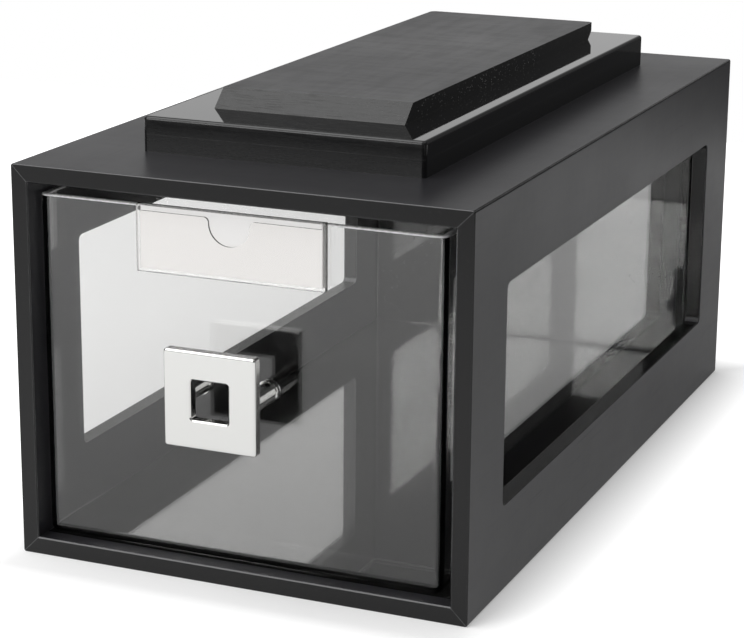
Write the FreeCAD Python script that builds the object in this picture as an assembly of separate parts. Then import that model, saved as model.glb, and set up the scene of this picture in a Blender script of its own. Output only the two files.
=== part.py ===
import FreeCAD, Part
import math
import os

from FreeCAD import Vector

# Countertop bread display bin: a black acrylic case with an open front and two side windows,
# a stepped top of stacked sheets, and a clear moulded bin that slides out to the front.
# Millimetres. X is the width, Y runs from the open front to the back, Z is up.
# The origin is the middle of the overall box, at the surface that the case stands on.

# Case: four sheets mitred along their long edges, and a back sheet let in between them.
case_width = 216.0
case_depth = 402.0
case_height = 180.5
sheet = 8.0
case_edge_radius = 1.2
case_rim_ease = 0.5
case_mouth_ease = 0.5

# Windows: open cut-outs, the same in both side sheets.
window_end_margin = 41.5
window_rail_margin = 40.3
window_corner_radius = 3.0
window_ease = 0.4

# Plinth: two more sheets, stacked on the case a little nearer to its back than to its front.
plinth_width = 135.5
plinth_depth = 318.0
plinth_front_margin = 47.0
plinth_corner_radius = 2.0
plinth_edge_radius = 1.6

# Cap: one narrower sheet, its front end bevelled over, its back end undercut to a thin lip.
# It is cemented on a little left of the middle.
cap_width = 93.0
cap_thickness = 8.4
cap_offset = 0.5
cap_bevel_run = 9.6
cap_length = 260.0
cap_front_margin = 29.5
cap_overhang = 8.0
cap_back_lip = 2.5
cap_corner_radius = 3.0

# Bin: clear moulded drawer, loose in the case. It stands a little left of the middle.
bin_setback = 8.5
bin_back_gap = 3.0
bin_top_gap = 6.2
bin_left_gap = 0.6
bin_right_gap = 7.4
slide_gap = 0.3
bin_wall = 3.0
bin_corner_radius = 4.0
bin_foot_radius = 3.5
bin_inner_corner_radius = 1.5
bin_inner_foot_radius = 1.2
bin_rim_radius = 0.8

# Pull: a square ring cast with two round posts, fixed by two screws from inside the bin.
# It and the label share one middle line, a little left of the bin's own.
fittings_offset = 1.25
ring_size = 43.4
ring_hole = 17.9
ring_thickness = 5.0
ring_corner_radius = 1.4
ring_edge_radius = 1.1
ring_hole_corner_radius = 1.2
ring_ease = 0.6
ring_drop = 77.0
ring_standoff = 24.0
post_spacing = 32.0
post_diameter = 9.5
collar_diameter = 10.2
collar_thickness = 1.0
screw_diameter = 4.0
screw_bite = 8.0
bore_run_out = 0.8
screw_hole_clearance = 0.25
thread_clearance = 0.05
screw_head_diameter = 8.0
screw_head_height = 2.6
screw_head_bevel = 0.8
washer_diameter = 10.0
washer_thickness = 0.8

# Label: a slim clear holder taped to the front of the bin, with a blank card in it.
label_width = 89.0
label_height = 29.8
label_depth = 3.0
label_rise = 1.0
label_border = 1.5
label_flap = 1.0
label_ease = 0.3
card_slot = 0.8
flap_drop = 2.8
notch_radius = 9.8
notch_flare = 2.2
card_thickness = 0.4
card_play = 0.2
card_drop = 0.8
tape_thickness = 0.8
tape_inset = 1.5

# One overrun for every cutter, and the slack used when edges are picked by place.
overrun = 5.0
slack = 0.01

# Places that follow from the sizes above.
pull_reach = ring_standoff - bin_setback
front_y = pull_reach - (case_depth + pull_reach) / 2
back_y = front_y + case_depth
half_width = case_width / 2
inner_half_width = half_width - sheet
inner_top = case_height - sheet

bin_left = -inner_half_width + bin_left_gap
bin_right = inner_half_width - bin_right_gap
fittings_x = (bin_left + bin_right) / 2 - fittings_offset
bin_front = front_y + bin_setback
bin_back = back_y - sheet - bin_back_gap
bin_bottom = sheet + slide_gap
bin_top = inner_top - bin_top_gap

ring_z = bin_top - ring_drop
ring_front = bin_front - ring_standoff
ring_back = ring_front + ring_thickness

plinth_front = front_y + plinth_front_margin
plinth_top = case_height + 2 * sheet
cap_front = plinth_front + cap_front_margin
cap_left = -cap_width / 2 - cap_offset
cap_right = cap_width / 2 - cap_offset

label_top = bin_top + label_rise
label_bottom = label_top - label_height
label_back = bin_front - tape_thickness
label_front = label_back - label_depth
slot_front = label_front + label_flap
slot_back = slot_front + card_slot
slot_half_width = label_width / 2 - label_border
slot_bottom = label_bottom + label_border
flap_top = label_top - flap_drop

AXES = {"x": Vector(1, 0, 0), "y": Vector(0, 1, 0), "z": Vector(0, 0, 1)}


def block(x0, x1, y0, y1, z0, z1):
    """A box between two opposite corners."""
    return Part.makeBox(x1 - x0, y1 - y0, z1 - z0, Vector(x0, y0, z0))


def rod(x, y0, y1, z, radius):
    """A round bar along Y."""
    return Part.makeCylinder(radius, y1 - y0, Vector(x, y0, z), AXES["y"])


def reach(edge, axis):
    """The lowest and highest place of an edge along an axis."""
    bounds = edge.BoundBox
    return {
        "x": (bounds.XMin, bounds.XMax),
        "y": (bounds.YMin, bounds.YMax),
        "z": (bounds.ZMin, bounds.ZMax),
    }[axis]


def edges_at(shape, axis, place):
    """The edges that lie in one plane square to an axis."""
    return [e for e in shape.Edges if max(abs(v - place) for v in reach(e, axis)) < slack]


def edges_along(shape, axis):
    """The straight edges that run along an axis."""
    across = [other for other in AXES if other != axis]
    return [e for e in shape.Edges if all(reach(e, a)[1] - reach(e, a)[0] < slack for a in across)]


def edges_of_plate_face(shape, axis, place, low, high):
    """The edges in one plane whose middle is between two corners."""
    found = []
    for edge in edges_at(shape, axis, place):
        middle = edge.BoundBox.Center
        if all(a - slack < v < b + slack for a, v, b in zip(low, middle, high)):
            found.append(edge)
    return found


def window_cutter(side):
    """The round-cornered hole of one side window; side is -1 on the left and 1 on the right."""
    inside = side * (inner_half_width - overrun)
    outside = side * (half_width + overrun)
    hole = block(
        min(inside, outside),
        max(inside, outside),
        front_y + window_end_margin,
        back_y - window_end_margin,
        window_rail_margin,
        case_height - window_rail_margin,
    )
    return hole.makeFillet(window_corner_radius, edges_along(hole, "x"))


def case_sleeve():
    """The case's four long sheets as one sleeve, with eased edges and both windows."""
    outer = block(-half_width, half_width, front_y, back_y, 0, case_height)
    outer = outer.makeFillet(case_edge_radius, edges_along(outer, "y"))
    ends = edges_at(outer, "y", front_y) + edges_at(outer, "y", back_y)
    outer = outer.makeFillet(case_rim_ease, ends)
    inner = block(
        -inner_half_width, inner_half_width, front_y - overrun, back_y + overrun, sheet, inner_top
    )
    sleeve = outer.cut(inner)
    mouth = edges_of_plate_face(
        sleeve,
        "y",
        front_y,
        (-inner_half_width, front_y, sheet),
        (inner_half_width, front_y, inner_top),
    )
    sleeve = sleeve.makeChamfer(case_mouth_ease, mouth)
    for side in (-1, 1):
        sleeve = sleeve.cut(window_cutter(side))
        face_x = side * half_width
        outline = edges_of_plate_face(
            sleeve,
            "x",
            face_x,
            (face_x, front_y + window_end_margin, window_rail_margin),
            (face_x, back_y - window_end_margin, case_height - window_rail_margin),
        )
        sleeve = sleeve.makeChamfer(window_ease, outline)
    return sleeve


def mitre_wedge(corners):
    """A prism along Y that takes one sheet out of the sleeve, up to its two mitres."""
    points = [Vector(x, front_y - overrun, z) for x, z in corners]
    outline = Part.makePolygon(points + points[:1])
    return Part.Face(outline).extrude(Vector(0, case_depth + 2 * overrun, 0))


def case_panels():
    """The four mitred sheets. Their mitres meet face to face."""
    sleeve = case_sleeve()
    far_x = half_width + overrun
    far_top = case_height + overrun
    far_bottom = -overrun
    near_x = inner_half_width
    corners = {
        "case_bottom_panel": [
            (-far_x, far_bottom), (far_x, far_bottom), (near_x, sheet), (-near_x, sheet)
        ],
        "case_top_panel": [
            (-far_x, far_top), (far_x, far_top), (near_x, inner_top), (-near_x, inner_top)
        ],
        "case_left_panel": [
            (-far_x, far_bottom), (-far_x, far_top), (-near_x, inner_top), (-near_x, sheet)
        ],
        "case_right_panel": [
            (far_x, far_bottom), (far_x, far_top), (near_x, inner_top), (near_x, sheet)
        ],
    }
    return {name: sleeve.common(mitre_wedge(outline)) for name, outline in corners.items()}


def case_back_panel():
    """The back sheet, let in flush between the four long ones."""
    return block(-inner_half_width, inner_half_width, back_y - sheet, back_y, sheet, inner_top)


def plinth_sheet(bottom):
    """One sheet of the plinth, with its upright corners eased."""
    plate = block(
        -plinth_width / 2,
        plinth_width / 2,
        plinth_front,
        plinth_front + plinth_depth,
        bottom,
        bottom + sheet,
    )
    return plate.makeFillet(plinth_corner_radius, edges_along(plate, "z"))


def plinth_upper_sheet():
    """The upper plinth sheet, its top edge rounded and polished."""
    plate = plinth_sheet(case_height + sheet)
    return plate.makeFillet(plinth_edge_radius, edges_at(plate, "z", plinth_top))


def cap_sheet():
    """The cap: a profile seen from the side, pushed across the plinth, with round back corners."""
    cap_top = plinth_top + cap_thickness
    foot_back = cap_front + cap_length
    cap_back = foot_back + cap_overhang
    profile = [
        (cap_front, plinth_top),
        (cap_front + cap_bevel_run, cap_top),
        (cap_back, cap_top),
        (cap_back, cap_top - cap_back_lip),
        (foot_back, plinth_top),
    ]
    points = [Vector(cap_left, y, z) for y, z in profile]
    plate = Part.Face(Part.makePolygon(points + points[:1])).extrude(Vector(cap_width, 0, 0))
    blank = block(cap_left, cap_right, cap_front, cap_back, plinth_top, cap_top)
    back_corners = [e for e in edges_along(blank, "z") if reach(e, "y")[0] > foot_back]
    return plate.common(blank.makeFillet(cap_corner_radius, back_corners))


def tub(inset, top, corner_radius, foot_radius):
    """The bin's outline as a solid, drawn in by an inset and rounded at its corners and foot."""
    bottom = bin_bottom + inset
    solid = block(
        bin_left + inset, bin_right - inset, bin_front + inset, bin_back - inset, bottom, top
    )
    solid = solid.makeFillet(corner_radius, edges_along(solid, "z"))
    return solid.makeFillet(foot_radius, edges_at(solid, "z", bottom))


def post_places():
    """The X of each of the pull's posts, by side."""
    return {"left": fittings_x - post_spacing / 2, "right": fittings_x + post_spacing / 2}


def drawer_bin():
    """The clear bin: one even wall, a polished rim, and two screw holes in the front."""
    outside = tub(0, bin_top, bin_corner_radius, bin_foot_radius)
    inside = tub(
        bin_wall, bin_top + overrun, bin_inner_corner_radius, bin_inner_foot_radius
    )
    shell = outside.cut(inside)
    shell = shell.makeFillet(bin_rim_radius, edges_at(shell, "z", bin_top))
    hole_radius = screw_diameter / 2 + screw_hole_clearance
    for x in post_places().values():
        shell = shell.cut(
            rod(x, bin_front - overrun, bin_front + bin_wall + overrun, ring_z, hole_radius)
        )
    return shell


def square_bar(size, y0, y1, corner_radius):
    """A square bar along Y round the pull's centre line, with rounded corners."""
    half = size / 2
    bar = block(fittings_x - half, fittings_x + half, y0, y1, ring_z - half, ring_z + half)
    return bar.makeFillet(corner_radius, edges_along(bar, "y"))


def ring_pull():
    """The cast pull: ring and collared posts in one piece, bored and tapped from behind."""
    ring = square_bar(ring_size, ring_front, ring_back, ring_corner_radius)
    ring = ring.makeFillet(ring_edge_radius, edges_at(ring, "y", ring_front))
    ring = ring.makeChamfer(ring_ease, edges_at(ring, "y", ring_back))
    ring = ring.cut(
        square_bar(ring_hole, ring_front - overrun, ring_back + overrun, ring_hole_corner_radius)
    )
    half = ring_hole / 2
    mouth = edges_of_plate_face(
        ring,
        "y",
        ring_front,
        (fittings_x - half, ring_front, ring_z - half),
        (fittings_x + half, ring_front, ring_z + half),
    )
    ring = ring.makeChamfer(ring_ease, mouth)
    bore = screw_diameter / 2 + thread_clearance
    for x in post_places().values():
        ring = ring.fuse(rod(x, ring_back - ring_thickness / 2, bin_front, ring_z, post_diameter / 2))
        ring = ring.fuse(
            rod(x, bin_front - collar_thickness, bin_front, ring_z, collar_diameter / 2)
        )
        ring = ring.cut(
            rod(x, bin_front - screw_bite - bore_run_out, bin_front + overrun, ring_z, bore)
        )
    return ring.removeSplitter()


def pull_washer(x):
    """A flat washer between a screw's head and the inside of the bin's front."""
    y0 = bin_front + bin_wall
    y1 = y0 + washer_thickness
    ring = rod(x, y0, y1, ring_z, washer_diameter / 2)
    hole = rod(x, y0 - overrun, y1 + overrun, ring_z, screw_diameter / 2 + screw_hole_clearance)
    return ring.cut(hole)


def pull_screw(x):
    """A pan-head screw from inside the bin into a post."""
    head_y = bin_front + bin_wall + washer_thickness
    head = rod(x, head_y, head_y + screw_head_height, ring_z, screw_head_diameter / 2)
    head = head.makeChamfer(screw_head_bevel, edges_at(head, "y", head_y + screw_head_height))
    return head.fuse(rod(x, bin_front - screw_bite, head_y, ring_z, screw_diameter / 2))


def notch_cutter():
    """The thumb notch in the label holder's front flap: a half round with flared shoulders."""
    turn = math.sin(math.pi / 4)
    shoulder = notch_radius + notch_flare
    neck_z = flap_top - notch_flare
    flare_x = notch_radius + notch_flare * (1 - turn)
    flare_z = neck_z + notch_flare * turn

    def at(x, z):
        return Vector(fittings_x + x, label_front - overrun, z)

    edges = [
        Part.Arc(at(-shoulder, flap_top), at(-flare_x, flare_z), at(-notch_radius, neck_z)),
        Part.Arc(at(-notch_radius, neck_z), at(0, neck_z - notch_radius), at(notch_radius, neck_z)),
        Part.Arc(at(notch_radius, neck_z), at(flare_x, flare_z), at(shoulder, flap_top)),
        Part.LineSegment(at(shoulder, flap_top), at(shoulder, label_top + overrun)),
        Part.LineSegment(at(shoulder, label_top + overrun), at(-shoulder, label_top + overrun)),
        Part.LineSegment(at(-shoulder, label_top + overrun), at(-shoulder, flap_top)),
    ]
    outline = Part.Wire([e.toShape() for e in edges])
    depth = slot_front - label_front + card_slot / 2 + overrun
    return Part.Face(outline).extrude(Vector(0, depth, 0))


def label_holder():
    """The slim holder: a back plate, a border, and a lower front flap with a thumb notch."""
    left = fittings_x - label_width / 2
    right = fittings_x + label_width / 2
    body = block(left, right, label_front, label_back, label_bottom, label_top)
    body = body.makeChamfer(label_ease, edges_at(body, "y", label_front))
    slot_left = fittings_x - slot_half_width
    slot_right = fittings_x + slot_half_width
    above = label_top + overrun
    body = body.cut(block(slot_left, slot_right, slot_front, slot_back, slot_bottom, above))
    before = label_front - overrun
    body = body.cut(block(slot_left, slot_right, before, slot_front, flap_top, above))
    return body.cut(notch_cutter())


def label_card():
    """The blank card, standing in the slot against the back plate."""
    half = slot_half_width - card_play
    return block(
        fittings_x - half,
        fittings_x + half,
        slot_back - card_thickness,
        slot_back,
        slot_bottom,
        label_top - card_drop,
    )


def label_tape():
    """The foam tape between the holder and the bin. It stays below the bin's rounded rim."""
    half = label_width / 2 - tape_inset
    return block(
        fittings_x - half,
        fittings_x + half,
        label_back,
        bin_front,
        label_bottom + tape_inset,
        bin_top - bin_rim_radius,
    )


def all_parts():
    """Every piece by its name."""
    parts = case_panels()
    parts["case_back_panel"] = case_back_panel()
    parts["plinth_lower_sheet"] = plinth_sheet(case_height)
    parts["plinth_upper_sheet"] = plinth_upper_sheet()
    parts["cap_sheet"] = cap_sheet()
    parts["drawer_bin"] = drawer_bin()
    parts["ring_pull"] = ring_pull()
    for side, x in post_places().items():
        parts["pull_screw_" + side] = pull_screw(x)
        parts["pull_washer_" + side] = pull_washer(x)
    parts["label_holder"] = label_holder()
    parts["label_card"] = label_card()
    parts["label_tape"] = label_tape()
    return parts


def main():
    os.makedirs("parts", exist_ok=True)
    for name, shape in all_parts().items():
        if len(shape.Solids) == 1:
            shape = shape.Solids[0]
        shape.exportStep(os.path.join("parts", name + ".step"))
        print(name, "solids", len(shape.Solids), "valid", shape.isValid(), "volume", round(shape.Volume))


main()
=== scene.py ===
import math

import bmesh
import bpy
from mathutils import Matrix, Vector


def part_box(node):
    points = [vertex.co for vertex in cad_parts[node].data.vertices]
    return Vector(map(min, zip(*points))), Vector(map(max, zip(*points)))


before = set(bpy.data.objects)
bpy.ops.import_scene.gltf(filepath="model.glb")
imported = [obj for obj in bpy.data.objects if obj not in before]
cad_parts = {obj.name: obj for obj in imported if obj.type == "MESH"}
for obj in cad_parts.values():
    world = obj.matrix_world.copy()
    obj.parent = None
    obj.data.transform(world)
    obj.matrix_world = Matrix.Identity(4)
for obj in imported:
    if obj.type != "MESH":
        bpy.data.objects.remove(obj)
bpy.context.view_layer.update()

# A black acrylic countertop case with a clear sliding bin. Metres; X right, Y to the back, Z up.

MM = 0.001

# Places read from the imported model.
CASE_LOW = Vector(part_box("case_bottom_panel")[0])
CASE_HIGH = Vector(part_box("case_top_panel")[1])
CASE_MIDDLE = (CASE_LOW + CASE_HIGH) / 2
CASE_REACH = (CASE_HIGH - CASE_LOW) / 2
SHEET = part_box("case_bottom_panel")[1][2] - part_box("case_bottom_panel")[0][2]
BIN_LOW, BIN_HIGH = (Vector(corner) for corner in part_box("drawer_bin"))

# The photograph's view.
CAMERA_PLACE = Vector((0.42600, -1.05450, 0.39658))
CAMERA_AZIMUTH = math.radians(22.833)
CAMERA_ELEVATION = math.radians(15.908)
CAMERA_ROLL = math.radians(0.446)
CAMERA_LENS = 113.635
CAMERA_SENSOR = 36.0

# The floor's half side and its colour, which a gloss sees dimmed towards the right and the back as
# painted shade.
# What is right and back of the middle is told by X plus Y.
FLOOR_REACH = 0.85
FLOOR_PALE = 0.78
FLOOR_PAINTED_SHADE = 0.62
DIMMED_FROM = 0.1
DIMMED_TO = 0.6

# The floor's glow to the eye, at the case's foot and beyond a narrow blend round it: the lower glow
# at the foot paints a shadow round the case.
SEEN_NEAR = 0.22
SEEN_FAR = 0.75
PAINTED_SHADOW_BLEND = 0.03

# The floor's glow to a gloss: bright in front, dim beside the case as painted shade, bright again
# far behind.
GLOSS_FRONT = 0.42
GLOSS_FRONT_AT = -0.4
GLOSS_PAINTED_SHADE = 0.06
GLOSS_PAINTED_SHADE_AT = 0.5
GLOSS_BEHIND = 0.7
GLOSS_BEHIND_FROM = 0.7
GLOSS_BEHIND_AT = 1.2

# The world: its light, and what a gloss sees in it: a band behind the case, up to a height and
# between two widths, under a dim ceiling with a light overhead. Heights are sines of elevations.
AMBIENT_LEVEL = 0.60
BAND_LEVEL = 0.85
BAND_TOP = math.sin(math.radians(13.0))
BAND_END = math.sin(math.radians(25.0))
BAND_WAY = (-0.39, 0.92, 0.0)
BAND_EDGE = 0.93
BAND_OUT = 0.80
CEILING_LEVEL = 0.15
OVERHEAD_LEVEL = 0.8
OVERHEAD_LOW = math.sin(math.radians(38.0))
OVERHEAD_HIGH = math.sin(math.radians(50.0))
BELOW_LEVEL = 0.08

# The lamps.
LAMP_TARGET = Vector((0.0, 0.0, 0.1))
KEY_LAMP = {"place": (-0.88, -0.59, 1.8), "width": 1.4, "height": 1.4, "watts": 15.5}
FRONT_LAMP = {"place": (-0.75, -1.68, 0.72), "width": 1.2, "height": 0.7, "watts": 12.8}

# How the plastic mirrors: its index, and a lower level on satin sheet.
ACRYLIC_IOR = 1.49
CASE_SPECULAR = 0.31
CAP_SPECULAR = 0.38

# Sizes of marks: seams, worn edges, the bin's scrape-marked rim with its painted light, and a dust
# speck with its solid core.
SEAM_WIDTH = 0.25 * MM
EASED_EDGE = 0.5 * MM
CHROME_EASED_EDGE = 0.5 * MM
ZINC_EASED_EDGE = 0.3 * MM
RIM_DEPTH = 0.85 * MM
DUST_SIZE = 0.38 * MM
DUST_CORE = 0.16 * MM

# How the case's inner faces and its windows' cut edges are told from its outside. The edges lie
# more than the margin inside the case's outline, and face less than half sideways.
FACE_SLACK = 0.1 * MM
WINDOW_MARGIN = 39.0 * MM
HALF_SIDEWAYS = 0.5

# Colours of the black sheets, and of what shows on them.
# The case's marks colour also serves as a painted highlight on its edges that face up and forward.
CASE_SATIN = (0.0165, 0.0162, 0.0185, 1.0)
CASE_POLISHED = (0.005, 0.005, 0.005, 1.0)
CASE_MARKS_AND_HIGHLIGHT = (0.13, 0.13, 0.134, 1.0)
MIRROR_BLACK = (0.004, 0.004, 0.0043, 1.0)
PLINTH_MARKS = (0.09, 0.09, 0.09, 1.0)
CAP_FROSTED = (0.023, 0.023, 0.0245, 1.0)
CAP_MARKS = (0.1, 0.1, 0.09, 1.0)
CAP_SPECKS = (0.45, 0.45, 0.44, 1.0)

# Colours of the clear pieces, of the light that passes them, and of the bin's scrape-marked rim,
# painted pale as the light that the wall carries out at its edge.
BIN_TINT = (0.97, 0.97, 0.965, 1.0)
LABEL_TINT = (0.99, 0.985, 0.98, 1.0)
PASSING_LIGHT = (0.965, 0.96, 0.955, 1.0)
RIM_PAINTED_LIGHT_DIM = (0.50, 0.50, 0.50, 1.0)
RIM_PAINTED_LIGHT_BRIGHT = (0.85, 0.85, 0.85, 1.0)

# Colours of the metal, card and foam, each with the two ends of its own variation.
CHROME_FACE = (0.60, 0.60, 0.587, 1.0)
CHROME_EDGE = (0.72, 0.72, 0.71, 1.0)
ZINC_DARK = (0.55, 0.56, 0.58, 1.0)
ZINC_PALE = (0.72, 0.72, 0.71, 1.0)
CARD_DARK = (0.77, 0.76, 0.752, 1.0)
CARD_PALE = (0.81, 0.80, 0.792, 1.0)
FOAM_DARK = (0.74, 0.74, 0.73, 1.0)
FOAM_PALE = (0.82, 0.82, 0.81, 1.0)
WHITE = (1.0, 1.0, 1.0, 1.0)

# Roughness, from clean or smooth to smeared or coarse.
CASE_SATIN_ROUGHNESS = (0.35, 0.40)
CASE_POLISHED_ROUGHNESS = (0.10, 0.16)
PLINTH_ROUGHNESS = (0.012, 0.05)
CAP_SIDE_ROUGHNESS = (0.08, 0.18)
CAP_TOP_ROUGHNESS = (0.36, 0.44)
RIM_ROUGHNESS = (0.2, 0.4)
CHROME_ROUGHNESS = (0.06, 0.12)
ZINC_ROUGHNESS = (0.18, 0.36)
CARD_ROUGHNESS = (0.55, 0.7)
FOAM_ROUGHNESS = (0.7, 0.9)

# The clear pieces' roughness where they are smeared, and how much of that is in fine streaks.
BIN_SMEARS = 0.01
BIN_STREAKS = 0.4
LABEL_SMEARS = 0.02
LABEL_STREAKS = 0.3

# Roughness that saw lines add to the plinth and the cap, and hairlines to the case and the pull.
PLINTH_FRONT_SAWN = 0.22
PLINTH_SIDE_SAWN = 0.06
CAP_BEVEL_SAWN = 0.30
CASE_SCRATCHED = 0.15
CHROME_SCRATCHED = 0.1

# How many times deeper the saw lines on the cap's bevel are than the grain on its top.
SAW_OVER_GRAIN = 4.0

# Where a Mix node keeps its two sources and its result, for numbers and for colours.
MIX_SOCKETS = {"FLOAT": (2, 3, 0), "RGBA": (6, 7, 2)}


def node(tree, kind, **settings):
    """A node in a tree, with its settings."""
    made = tree.nodes.new(kind)
    for key, value in settings.items():
        setattr(made, key, value)
    return made


def feed(tree, socket, source):
    """Joins a socket to a source, or sets it to a plain value."""
    if isinstance(source, bpy.types.NodeSocket):
        tree.links.new(source, socket)
    else:
        socket.default_value = source


def maths(tree, operation, *sources, clamp=False):
    """The result of a Math node."""
    made = node(tree, "ShaderNodeMath", operation=operation, use_clamp=clamp)
    for socket, source in zip(made.inputs, sources):
        feed(tree, socket, source)
    return made.outputs[0]


def in_turn(tree, operation, sources):
    """One operation taken over several values in turn."""
    total = sources[0]
    for source in sources[1:]:
        total = maths(tree, operation, total, source)
    return total


def product(tree, *sources):
    """Several values multiplied."""
    return in_turn(tree, "MULTIPLY", sources)


def largest(tree, *sources):
    """The largest of several values."""
    return in_turn(tree, "MAXIMUM", sources)


def faded(tree, mask, share):
    """A mask at a share of its strength."""
    return maths(tree, "MULTIPLY", mask, share)


def opposite(tree, mask):
    """1 where a mask is 0, and 0 where it is 1."""
    return maths(tree, "SUBTRACT", 1.0, mask)


def distance_from(tree, value, middle):
    """How far a value is from a middle, on either side."""
    return maths(tree, "ABSOLUTE", maths(tree, "SUBTRACT", value, middle))


def ramp(tree, source, low, high, start=0.0, end=1.0):
    """A value carried from low..high to start..end, and held there."""
    made = node(tree, "ShaderNodeMapRange", clamp=True)
    for key, value in (("Value", source), ("From Min", low), ("From Max", high),
                       ("To Min", start), ("To Max", end)):
        feed(tree, made.inputs[key], value)
    return made.outputs["Result"]


def mixed(tree, kind, factor, first, second):
    """A number or a colour between two."""
    made = node(tree, "ShaderNodeMix", data_type=kind)
    first_socket, second_socket, result = MIX_SOCKETS[kind]
    feed(tree, made.inputs[0], factor)
    feed(tree, made.inputs[first_socket], first)
    feed(tree, made.inputs[second_socket], second)
    return made.outputs[result]


def between(tree, factor, first, second):
    """A number between two."""
    return mixed(tree, "FLOAT", factor, first, second)


def mix_color(tree, factor, first, second):
    """A colour between two."""
    return mixed(tree, "RGBA", factor, first, second)


def mix_shader(tree, factor, first, second):
    """A shader between two."""
    made = node(tree, "ShaderNodeMixShader")
    for socket, source in zip(made.inputs, (factor, first, second)):
        feed(tree, socket, source)
    return made.outputs[0]


def place_of(tree):
    """Where a point of the piece is, in metres."""
    return node(tree, "ShaderNodeTexCoord").outputs["Object"]


def axes(tree, vector):
    """A vector's X, Y and Z."""
    split = node(tree, "ShaderNodeSeparateXYZ")
    feed(tree, split.inputs["Vector"], vector)
    return split.outputs


def facing_of(tree):
    """X, Y and Z of the way that the surface faces."""
    return axes(tree, node(tree, "ShaderNodeNewGeometry").outputs["Normal"])


def stretched(tree, vector, factors, turn=(0.0, 0.0, 0.0)):
    """Coordinates turned and stretched along the axes."""
    made = node(tree, "ShaderNodeMapping")
    feed(tree, made.inputs["Vector"], vector)
    made.inputs["Rotation"].default_value = turn
    made.inputs["Scale"].default_value = factors
    return made.outputs["Vector"]


def noise(tree, vector, scale, detail=2.0, roughness=0.5):
    """A noise value over the piece."""
    made = node(tree, "ShaderNodeTexNoise")
    feed(tree, made.inputs["Vector"], vector)
    feed(tree, made.inputs["Scale"], scale)
    feed(tree, made.inputs["Detail"], detail)
    feed(tree, made.inputs["Roughness"], roughness)
    return made.outputs["Fac"]


def cells_of(tree, place, scale):
    """A pattern of cells, with the distance from each cell's middle and a colour of its own."""
    made = node(tree, "ShaderNodeTexVoronoi", feature="F1")
    feed(tree, made.inputs["Vector"], place)
    feed(tree, made.inputs["Scale"], scale)
    return made.outputs


def new_group(name, inputs, outputs):
    """An empty node group with number sockets, and its inside ends."""
    group = bpy.data.node_groups.new(name, "ShaderNodeTree")
    for label, value in inputs.items():
        socket = group.interface.new_socket(label, in_out="INPUT", socket_type="NodeSocketFloat")
        socket.default_value = value
    for label in outputs:
        group.interface.new_socket(label, in_out="OUTPUT", socket_type="NodeSocketFloat")
    start = group.nodes.new("NodeGroupInput")
    end = group.nodes.new("NodeGroupOutput")
    return group, start.outputs, end.inputs


def edge_wear_group():
    """Where a sheet's edges are: 1 on an edge, fading over a width, broken up by noise."""
    group, given, result = new_group("edge_wear", {"Width": EASED_EDGE, "Breakup": 0.5}, ["Mask"])
    rounded = node(group, "ShaderNodeBevel", samples=6)
    feed(group, rounded.inputs["Radius"], given["Width"])
    dot = node(group, "ShaderNodeVectorMath", operation="DOT_PRODUCT")
    feed(group, dot.inputs[0], rounded.outputs["Normal"])
    feed(group, dot.inputs[1], node(group, "ShaderNodeNewGeometry").outputs["True Normal"])
    sharp = ramp(group, dot.outputs["Value"], low=0.995, high=0.85)
    chips = noise(group, place_of(group), scale=220.0, detail=3.0, roughness=0.6)
    broken = product(group, ramp(group, chips, low=0.35, high=0.65), given["Breakup"])
    feed(group, result["Mask"], product(group, sharp, opposite(group, broken)))
    return group


def dust_group():
    """Fine specks that lie on upward faces, and on the others as Sides says."""
    inputs = {"Amount": 0.3, "Scale": 260.0, "Sides": 0.25, "Share": 0.06}
    group, given, result = new_group("dust", inputs, ["Mask"])
    place = place_of(group)
    cells = cells_of(group, place, given["Scale"])
    away = maths(group, "DIVIDE", cells["Distance"], given["Scale"])
    spot = ramp(group, away, DUST_SIZE, DUST_CORE)
    pick = node(group, "ShaderNodeSeparateColor")
    feed(group, pick.inputs["Color"], cells["Color"])
    few = maths(group, "LESS_THAN", pick.outputs["Red"], given["Share"])
    facing = largest(group, ramp(group, facing_of(group)["Z"], low=0.2, high=0.9), given["Sides"])
    patch = ramp(group, noise(group, place, scale=14.0), low=0.4, high=0.62)
    feed(group, result["Mask"], product(group, spot, few, facing, patch, given["Amount"]))
    return group


def handling_group():
    """Wipe marks and finger smears: a slow cloud with fine streaks in it."""
    group, given, result = new_group("handling", {"Streaks": 0.5}, ["Mask", "Height"])
    place = place_of(group)
    cloud = noise(group, place, scale=9.0, detail=4.0, roughness=0.6)
    along = stretched(group, place, (60.0, 7.0, 60.0))
    across = stretched(group, place, (9.0, 50.0, 20.0))
    swirl = noise(group, along, scale=3.0, detail=3.0, roughness=0.7)
    cross = noise(group, across, scale=4.0, detail=3.0, roughness=0.7)
    wiped = ramp(group, maths(group, "ADD", swirl, cross), low=0.9, high=1.25)
    streak = product(group, wiped, given["Streaks"])
    smears = maths(group, "ADD", ramp(group, cloud, low=0.35, high=0.75), streak, clamp=True)
    feed(group, result["Mask"], smears)
    feed(group, result["Height"], cloud)
    return group


def hairlines_group():
    """Fine hairline scratches that run a few ways, thin and sparse."""
    group, given, result = new_group("hairlines", {"Amount": 0.5}, ["Mask"])
    place = place_of(group)
    lines = []
    for turn, scale in ((0.35, 480.0), (1.2, 600.0), (2.3, 540.0)):
        drawn_out = stretched(group, place, (1.0, 0.03, 1.0), turn=(turn, turn * 0.7, turn))
        scratch = noise(group, drawn_out, scale, detail=1.0, roughness=0.4)
        lines.append(ramp(group, scratch, low=0.70, high=0.76))
    patch = ramp(group, noise(group, place, scale=11.0), low=0.42, high=0.7)
    feed(group, result["Mask"], product(group, largest(group, *lines), patch, given["Amount"]))
    return group


GROUPS = {
    "edge_wear": edge_wear_group(),
    "dust": dust_group(),
    "handling": handling_group(),
    "hairlines": hairlines_group(),
}


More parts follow.
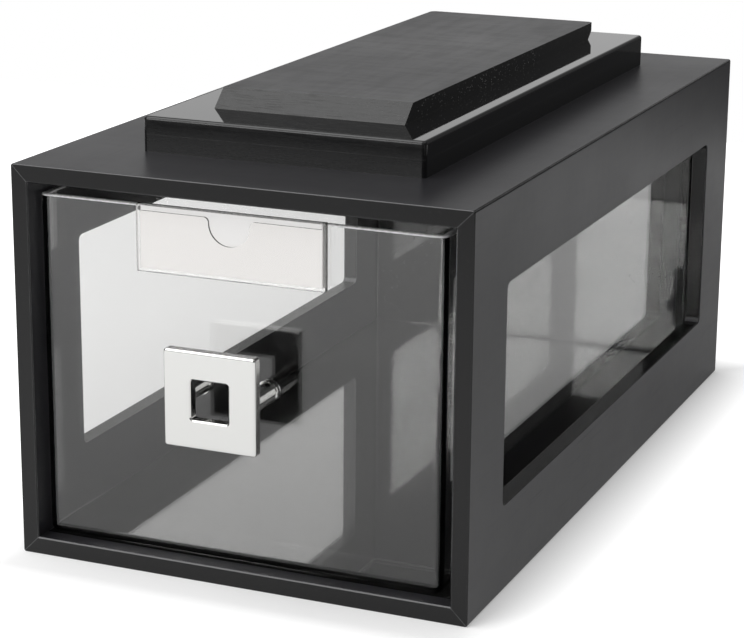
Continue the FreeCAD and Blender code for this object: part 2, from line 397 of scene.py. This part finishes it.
def use_group(tree, name, output="Mask", **values):
    """One output of a placed group."""
    placed = node(tree, "ShaderNodeGroup", node_tree=GROUPS[name])
    for key, value in values.items():
        feed(tree, placed.inputs[key], value)
    return placed.outputs[output]


def empty_material(name):
    """A material with only its output in it."""
    material = bpy.data.materials.new(name)
    material.use_nodes = True
    tree = material.node_tree
    tree.nodes.clear()
    surface = node(tree, "ShaderNodeOutputMaterial").inputs["Surface"]
    return material, tree, surface


def principled(tree, plain):
    """A Principled shader with some of its sockets set to plain values."""
    shader = node(tree, "ShaderNodeBsdfPrincipled")
    for key, value in plain.items():
        shader.inputs[key].default_value = value
    return shader


def new_material(name, plain):
    """A material with one Principled shader."""
    material, tree, surface = empty_material(name)
    shader = principled(tree, plain)
    feed(tree, surface, shader.outputs["BSDF"])
    return material, tree, shader


def relief(tree, shader, height, distance, strength):
    """Bump on a shader's normal."""
    bump = node(tree, "ShaderNodeBump")
    bump.inputs["Strength"].default_value = strength
    bump.inputs["Distance"].default_value = distance
    feed(tree, bump.inputs["Height"], height)
    feed(tree, shader.inputs["Normal"], bump.outputs["Normal"])


def mitre_mask(tree):
    """A hairline where two mitred sheets meet, seen at the case's ends."""
    place = axes(tree, place_of(tree))
    from_side = maths(tree, "SUBTRACT", CASE_REACH.x, maths(tree, "ABSOLUTE", place["X"]))
    height = distance_from(tree, place["Z"], CASE_MIDDLE.z)
    from_level = maths(tree, "SUBTRACT", CASE_REACH.z, height)
    off = distance_from(tree, from_side, from_level)
    return ramp(tree, off, SEAM_WIDTH, 0.0)


def inside_mask(tree):
    """1 on the case's inner faces behind the bin's front, and on the windows' cut edges."""
    place = axes(tree, place_of(tree))
    inner_x = CASE_REACH.x - SHEET + FACE_SLACK
    inner = maths(tree, "LESS_THAN", maths(tree, "ABSOLUTE", place["X"]), inner_x)
    above = maths(tree, "GREATER_THAN", place["Z"], CASE_LOW.z + SHEET - FACE_SLACK)
    below = maths(tree, "LESS_THAN", place["Z"], CASE_HIGH.z - SHEET + FACE_SLACK)
    behind = maths(tree, "GREATER_THAN", place["Y"], BIN_LOW.y)
    within = product(tree, inner, above, below, behind)
    sideways = maths(tree, "ABSOLUTE", facing_of(tree)["X"])
    edge_on = maths(tree, "LESS_THAN", sideways, HALF_SIDEWAYS)
    along = distance_from(tree, place["Y"], CASE_MIDDLE.y)
    height = distance_from(tree, place["Z"], CASE_MIDDLE.z)
    in_length = maths(tree, "LESS_THAN", along, CASE_REACH.y - WINDOW_MARGIN)
    in_height = maths(tree, "LESS_THAN", height, CASE_REACH.z - WINDOW_MARGIN)
    return largest(tree, within, product(tree, edge_on, in_length, in_height))


def rounding_mask(tree):
    """1 on the rounded edges between flat faces, and 1 on those that look up and forward, where a
    highlight is painted.
    """
    way = facing_of(tree)
    parts = [maths(tree, "ABSOLUTE", way[axis]) for axis in "XYZ"]
    rounded = ramp(tree, largest(tree, *parts), low=0.93, high=0.99, start=1.0, end=0.0)
    forward = ramp(tree, maths(tree, "SUBTRACT", way["Z"], way["Y"]), low=1.15, high=1.35)
    level = ramp(tree, parts[0], low=0.1, high=0.3, start=1.0, end=0.0)
    return rounded, product(tree, rounded, forward, level)


def case_acrylic():
    """Black sheet: satin outside with fine scuffs, polished inside, worn a little at its edges, with
    a painted highlight on edges that face up and forward.
    """
    plain = {"IOR": ACRYLIC_IOR, "Specular IOR Level": CASE_SPECULAR}
    material, tree, shader = new_material("case_acrylic", plain)
    wear = use_group(tree, "edge_wear", Breakup=0.6)
    dust = use_group(tree, "dust", Amount=0.5)
    hairlines = use_group(tree, "hairlines", Amount=0.35)
    handling = use_group(tree, "handling", Streaks=0.3)
    inside = inside_mask(tree)
    rounded, painted_highlight = rounding_mask(tree)
    marks = [
        dust,
        faded(tree, wear, share=0.9),
        faded(tree, mitre_mask(tree), share=0.03),
        faded(tree, hairlines, share=0.14),
        # A pale line on the rounded edges that face up and forward: a painted highlight.
        faded(tree, painted_highlight, share=0.8),
    ]
    polish = largest(tree, inside, rounded)
    sawn = ramp(tree, facing_of(tree)["Y"], low=-0.9, high=-0.6, start=0.9, end=0.0)
    black = mix_color(tree, largest(tree, polish, sawn), CASE_SATIN, CASE_POLISHED)
    color = mix_color(tree, largest(tree, *marks), black, CASE_MARKS_AND_HIGHLIGHT)
    feed(tree, shader.inputs["Base Color"], color)
    satin = between(tree, handling, *CASE_SATIN_ROUGHNESS)
    scratched = maths(tree, "ADD", satin, product(tree, hairlines, CASE_SCRATCHED))
    polished = between(tree, handling, *CASE_POLISHED_ROUGHNESS)
    feed(tree, shader.inputs["Roughness"], between(tree, polish, scratched, polished))
    grain = noise(tree, place_of(tree), scale=2600.0, roughness=0.6)
    height = product(tree, grain, opposite(tree, inside))
    relief(tree, shader, height, distance=0.004 * MM, strength=0.5)
    return material


def plinth_acrylic():
    """Black sheet polished like a mirror, with saw lines on its edges, smears and dust."""
    material, tree, shader = new_material("plinth_acrylic", {"IOR": ACRYLIC_IOR})
    facing = facing_of(tree)
    edge = ramp(tree, facing["Z"], low=0.5, high=0.9, start=1.0, end=0.0)
    wear = faded(tree, use_group(tree, "edge_wear", Breakup=0.7), share=0.3)
    dust = use_group(tree, "dust", Amount=0.6)
    handling = use_group(tree, "handling", Streaks=0.5)
    color = mix_color(tree, largest(tree, wear, dust), MIRROR_BLACK, PLINTH_MARKS)
    feed(tree, shader.inputs["Base Color"], color)
    lengthwise = stretched(tree, place_of(tree), (0.08, 0.08, 1.0))
    saw = noise(tree, lengthwise, scale=700.0, detail=3.0, roughness=0.6)
    smooth = between(tree, handling, *PLINTH_ROUGHNESS)
    way_forward = ramp(tree, facing["Y"], low=-0.6, high=-0.9)
    fore = between(tree, way_forward, PLINTH_SIDE_SAWN, PLINTH_FRONT_SAWN)
    sawn = product(tree, edge, fore, ramp(tree, saw, low=0.3, high=0.7, start=0.7, end=1.3))
    feed(tree, shader.inputs["Roughness"], maths(tree, "ADD", smooth, sawn))
    relief(tree, shader, product(tree, saw, edge), distance=0.02 * MM, strength=0.4)
    return material


def cap_acrylic():
    """Black sheet, frosted on its top, polished on its sides, with saw lines on its bevel."""
    plain = {"IOR": ACRYLIC_IOR, "Specular IOR Level": CAP_SPECULAR}
    material, tree, shader = new_material("cap_acrylic", plain)
    place = place_of(tree)
    facing = facing_of(tree)
    flat = ramp(tree, facing["Z"], low=0.8, high=0.95)
    fore = ramp(tree, facing["Y"], low=-0.6, high=-0.3, start=1.0, end=0.0)
    handling = use_group(tree, "handling", Streaks=0.6)
    lengthwise = stretched(tree, place, (0.06, 1.0, 1.0))
    saw = noise(tree, lengthwise, scale=1500.0, detail=3.0, roughness=0.7)
    streak = product(tree, fore, ramp(tree, saw, low=0.40, high=0.75))
    wear = faded(tree, use_group(tree, "edge_wear", Breakup=0.5), share=0.35)
    dust = use_group(tree, "dust", Amount=0.6)
    hairlines = faded(tree, use_group(tree, "hairlines", Amount=0.4), share=0.2)
    marks = largest(tree, wear, dust, hairlines, faded(tree, streak, share=0.12))
    specks = use_group(tree, "dust", Amount=1.0, Scale=900.0, Sides=1.0, Share=0.25)
    clean = largest(tree, flat, faded(tree, fore, share=0.85))
    specks = product(tree, specks, opposite(tree, clean))
    black = mix_color(tree, flat, MIRROR_BLACK, CAP_FROSTED)
    color = mix_color(tree, marks, black, CAP_MARKS)
    feed(tree, shader.inputs["Base Color"], mix_color(tree, specks, color, CAP_SPECKS))
    smooth = between(tree, handling, *CAP_SIDE_ROUGHNESS)
    sawn = maths(tree, "ADD", smooth, product(tree, streak, CAP_BEVEL_SAWN))
    frosted = between(tree, handling, *CAP_TOP_ROUGHNESS)
    feed(tree, shader.inputs["Roughness"], between(tree, flat, sawn, frosted))
    grain = product(tree, noise(tree, place, scale=2200.0, roughness=0.6), flat)
    height = maths(tree, "ADD", grain, product(tree, saw, fore, SAW_OVER_GRAIN))
    relief(tree, shader, height, distance=0.006 * MM, strength=0.6)
    return material


def rim_with_painted_light(tree, place):
    """The bin's rim: sawn, with scrape marks, and painted pale as the light that the wall carries
    out at its edge.
    """
    shader = principled(tree, {"IOR": ACRYLIC_IOR})
    layered = stretched(tree, place, (1.0, 1.0, 6.0))
    scrape = noise(tree, layered, scale=700.0, detail=3.0, roughness=0.6)
    color = mix_color(tree, ramp(tree, scrape, low=0.35, high=0.65), RIM_PAINTED_LIGHT_DIM, RIM_PAINTED_LIGHT_BRIGHT)
    feed(tree, shader.inputs["Base Color"], color)
    coarse = ramp(tree, scrape, low=0.3, high=0.7)
    feed(tree, shader.inputs["Roughness"], between(tree, coarse, *RIM_ROUGHNESS))
    return shader.outputs["BSDF"]


def clear_acrylic(name, tint, smears, streaks, rim_height=None):
    """Clear moulded plastic with faint smears, and above rim_height, where that is given, a
    scrape-marked rim painted pale as light.
    """
    material, tree, surface = empty_material(name)
    plain = {"Base Color": tint, "IOR": ACRYLIC_IOR, "Transmission Weight": 1.0}
    shader = principled(tree, plain)
    handling = use_group(tree, "handling", Streaks=streaks)
    feed(tree, shader.inputs["Roughness"], product(tree, handling, smears))
    place = place_of(tree)
    waves = noise(tree, place, scale=6.0, detail=1.0, roughness=0.4)
    relief(tree, shader, waves, distance=0.05 * MM, strength=0.15)
    look = shader.outputs["BSDF"]
    if rim_height is not None:
        # Above rim_height the plastic turns opaque and pale: painted light for the glow along the
        # rim.
        rim = maths(tree, "GREATER_THAN", axes(tree, place)["Z"], rim_height)
        look = mix_shader(tree, rim, look, rim_with_painted_light(tree, place))
    clear = node(tree, "ShaderNodeBsdfTransparent")
    clear.inputs["Color"].default_value = PASSING_LIGHT
    paths = node(tree, "ShaderNodeLightPath").outputs
    passing = largest(tree, paths["Is Shadow Ray"], paths["Is Diffuse Ray"])
    feed(tree, surface, mix_shader(tree, passing, look, clear.outputs["BSDF"]))
    return material


def polished_chrome():
    """Chrome plate: clean and bright, with faint wipe marks and softer edges."""
    material, tree, shader = new_material("polished_chrome", {"Metallic": 1.0})
    wear = use_group(tree, "edge_wear", Width=CHROME_EASED_EDGE, Breakup=0.7)
    handling = use_group(tree, "handling", Streaks=0.7)
    hairlines = use_group(tree, "hairlines", Amount=0.5)
    feed(tree, shader.inputs["Base Color"], mix_color(tree, wear, CHROME_FACE, CHROME_EDGE))
    wiped = between(tree, handling, *CHROME_ROUGHNESS)
    rough = maths(tree, "ADD", wiped, product(tree, hairlines, CHROME_SCRATCHED))
    feed(tree, shader.inputs["Roughness"], rough)
    cloud = use_group(tree, "handling", "Height")
    relief(tree, shader, cloud, distance=0.01 * MM, strength=0.3)
    return material


def zinc_steel():
    """Zinc plate on small fixings, a little cloudy."""
    material, tree, shader = new_material("zinc_steel", {"Metallic": 1.0})
    cloud = noise(tree, place_of(tree), scale=500.0, detail=3.0, roughness=0.6)
    feed(tree, shader.inputs["Base Color"], mix_color(tree, cloud, ZINC_DARK, ZINC_PALE))
    wear = use_group(tree, "edge_wear", Width=ZINC_EASED_EDGE)
    dull = maths(tree, "SUBTRACT", cloud, wear, clamp=True)
    feed(tree, shader.inputs["Roughness"], between(tree, dull, *ZINC_ROUGHNESS))
    return material


def card_stock():
    """Blank white card with a trace of fibre."""
    material, tree, shader = new_material("card_stock", {})
    fibre = noise(tree, place_of(tree), scale=1800.0, detail=4.0, roughness=0.7)
    strands = ramp(tree, fibre, low=0.3, high=0.7)
    feed(tree, shader.inputs["Base Color"], mix_color(tree, strands, CARD_DARK, CARD_PALE))
    feed(tree, shader.inputs["Roughness"], between(tree, strands, *CARD_ROUGHNESS))
    relief(tree, shader, fibre, distance=0.02 * MM, strength=0.4)
    return material


def foam_tape():
    """White closed-cell foam."""
    material, tree, shader = new_material("foam_tape", {})
    bubbles = cells_of(tree, place_of(tree), 3500.0)["Distance"]
    feed(tree, shader.inputs["Base Color"], mix_color(tree, bubbles, FOAM_DARK, FOAM_PALE))
    feed(tree, shader.inputs["Roughness"], between(tree, bubbles, *FOAM_ROUGHNESS))
    relief(tree, shader, bubbles, distance=0.05 * MM, strength=0.5)
    return material


def dress(names, material):
    """Gives CAD nodes a material."""
    for name in names:
        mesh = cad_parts[name].data
        mesh.materials.clear()
        mesh.materials.append(material)


def looks(tree, *kinds):
    """1 for the named kinds of ray, unless the path has left a matt surface before."""
    paths = node(tree, "ShaderNodeLightPath").outputs
    seen = maths(tree, "LESS_THAN", paths["Diffuse Depth"], 0.5)
    kind = largest(tree, *[paths["Is " + name + " Ray"] for name in kinds])
    return product(tree, kind, seen)


def pale_floor():
    """Matt and pale, with a glow for the eye, for gloss and for what clear plastic shows; painted
    shade lowers the glow to the eye at the case's foot, and the colour and glow to a gloss towards
    the right and back.
    """
    material, tree, surface = empty_material("pale_floor")
    place = axes(tree, place_of(tree))
    away = maths(tree, "ADD", place["X"], place["Y"])
    # To a gloss the floor is painted darker towards the right and back: painted shade for the case's
    # sides to mirror.
    painted_shade = ramp(tree, away, DIMMED_FROM, DIMMED_TO, FLOOR_PALE, FLOOR_PAINTED_SHADE)
    matte = node(tree, "ShaderNodeBsdfDiffuse")
    feed(tree, matte.inputs["Color"], between(tree, looks(tree, "Glossy"), FLOOR_PALE, painted_shade))
    # The glow to a gloss dips beside the case: more painted shade for its sides to mirror.
    front = ramp(tree, away, GLOSS_FRONT_AT, GLOSS_PAINTED_SHADE_AT, GLOSS_FRONT, GLOSS_PAINTED_SHADE)
    behind = ramp(tree, away, GLOSS_BEHIND_FROM, GLOSS_BEHIND_AT, 0.0, GLOSS_BEHIND)
    gloss = product(tree, looks(tree, "Glossy"), largest(tree, front, behind))
    # The glow to the eye is lowered near the case's outline: a painted shadow round its foot.
    gap_x = maths(tree, "SUBTRACT", maths(tree, "ABSOLUTE", place["X"]), CASE_HIGH.x)
    gap_y = maths(tree, "SUBTRACT", maths(tree, "ABSOLUTE", place["Y"]), CASE_HIGH.y)
    seen = ramp(tree, largest(tree, gap_x, gap_y), 0.0, PAINTED_SHADOW_BLEND, SEEN_NEAR, SEEN_FAR)
    level = between(tree, looks(tree, "Transmission"), gloss, SEEN_NEAR)
    glow = node(tree, "ShaderNodeEmission")
    feed(tree, glow.inputs["Strength"], between(tree, looks(tree, "Camera"), level, seen))
    total = node(tree, "ShaderNodeAddShader")
    feed(tree, total.inputs[0], matte.outputs["BSDF"])
    feed(tree, total.inputs[1], glow.outputs["Emission"])
    feed(tree, surface, total.outputs["Shader"])
    return material


def studio_floor():
    """A pale table top that keeps the object's shadow, with a painted shadow round the case's foot.
    """
    mesh = bpy.data.meshes.new("studio_floor")
    shape = bmesh.new()
    bmesh.ops.create_grid(shape, x_segments=1, y_segments=1, size=FLOOR_REACH)
    shape.to_mesh(mesh)
    shape.free()
    mesh.materials.append(pale_floor())
    floor = bpy.data.objects.new("studio_floor", mesh)
    bpy.context.scene.collection.objects.link(floor)


def studio_world():
    """White to the eye; to a gloss, a white band above the horizon under a dim ceiling."""
    world = bpy.data.worlds.new("studio")
    world.use_nodes = True
    tree = world.node_tree
    background = next(made for made in tree.nodes if made.type == "BACKGROUND")
    background.inputs["Color"].default_value = WHITE
    heading = node(tree, "ShaderNodeTexCoord").outputs["Generated"]
    height = axes(tree, heading)["Z"]
    facing = node(tree, "ShaderNodeVectorMath", operation="DOT_PRODUCT")
    feed(tree, facing.inputs[0], heading)
    facing.inputs[1].default_value = BAND_WAY
    behind = ramp(tree, facing.outputs["Value"], BAND_OUT, BAND_EDGE)
    band = ramp(tree, height, BAND_TOP, BAND_END, BAND_LEVEL, CEILING_LEVEL)
    band = between(tree, behind, CEILING_LEVEL, band)
    overhead = ramp(tree, height, OVERHEAD_LOW, OVERHEAD_HIGH, 0.0, OVERHEAD_LEVEL)
    above = maths(tree, "GREATER_THAN", height, 0.0)
    gloss = between(tree, above, BELOW_LEVEL, largest(tree, band, overhead))
    level = between(tree, looks(tree, "Glossy"), AMBIENT_LEVEL, gloss)
    seen = between(tree, looks(tree, "Camera", "Transmission"), level, 1.0)
    feed(tree, background.inputs["Strength"], seen)
    bpy.context.scene.world = world


def softbox(name, place, width, height, watts):
    """A large soft lamp turned to the object."""
    lamp = bpy.data.lights.new(name, "AREA")
    lamp.shape = "RECTANGLE"
    lamp.size = width
    lamp.size_y = height
    lamp.energy = watts
    made = bpy.data.objects.new(name, lamp)
    made.location = place
    made.rotation_euler = (LAMP_TARGET - Vector(place)).to_track_quat("-Z", "Y").to_euler()
    bpy.context.scene.collection.objects.link(made)


def photo_camera():
    """The camera at the photograph's place, turned by azimuth, elevation and roll."""
    camera = bpy.data.cameras.new("photo_camera")
    camera.lens = CAMERA_LENS
    camera.sensor_width = CAMERA_SENSOR
    made = bpy.data.objects.new("photo_camera", camera)
    turn = (
        Matrix.Rotation(CAMERA_AZIMUTH, 4, "Z")
        @ Matrix.Rotation(math.pi / 2 - CAMERA_ELEVATION, 4, "X")
        @ Matrix.Rotation(CAMERA_ROLL, 4, "Z")
    )
    made.matrix_world = Matrix.Translation(CAMERA_PLACE) @ turn
    bpy.context.scene.collection.objects.link(made)
    bpy.context.scene.camera = made


dress(
    ["case_" + side + "_panel" for side in ("top", "bottom", "left", "right", "back")],
    case_acrylic(),
)
dress(["plinth_lower_sheet", "plinth_upper_sheet"], plinth_acrylic())
dress(["cap_sheet"], cap_acrylic())
dress(
    ["drawer_bin"],
    clear_acrylic("bin_acrylic", BIN_TINT, BIN_SMEARS, BIN_STREAKS, BIN_HIGH.z - RIM_DEPTH),
)
dress(["label_holder"], clear_acrylic("label_plastic", LABEL_TINT, LABEL_SMEARS, LABEL_STREAKS))
dress(["ring_pull"], polished_chrome())
dress(["pull_screw_left", "pull_screw_right", "pull_washer_left", "pull_washer_right"], zinc_steel())
dress(["label_card"], card_stock())
dress(["label_tape"], foam_tape())

studio_floor()
studio_world()
softbox("key_lamp", **KEY_LAMP)
softbox("front_lamp", **FRONT_LAMP)
photo_camera()

bpy.context.scene.view_settings.view_transform = "Standard"
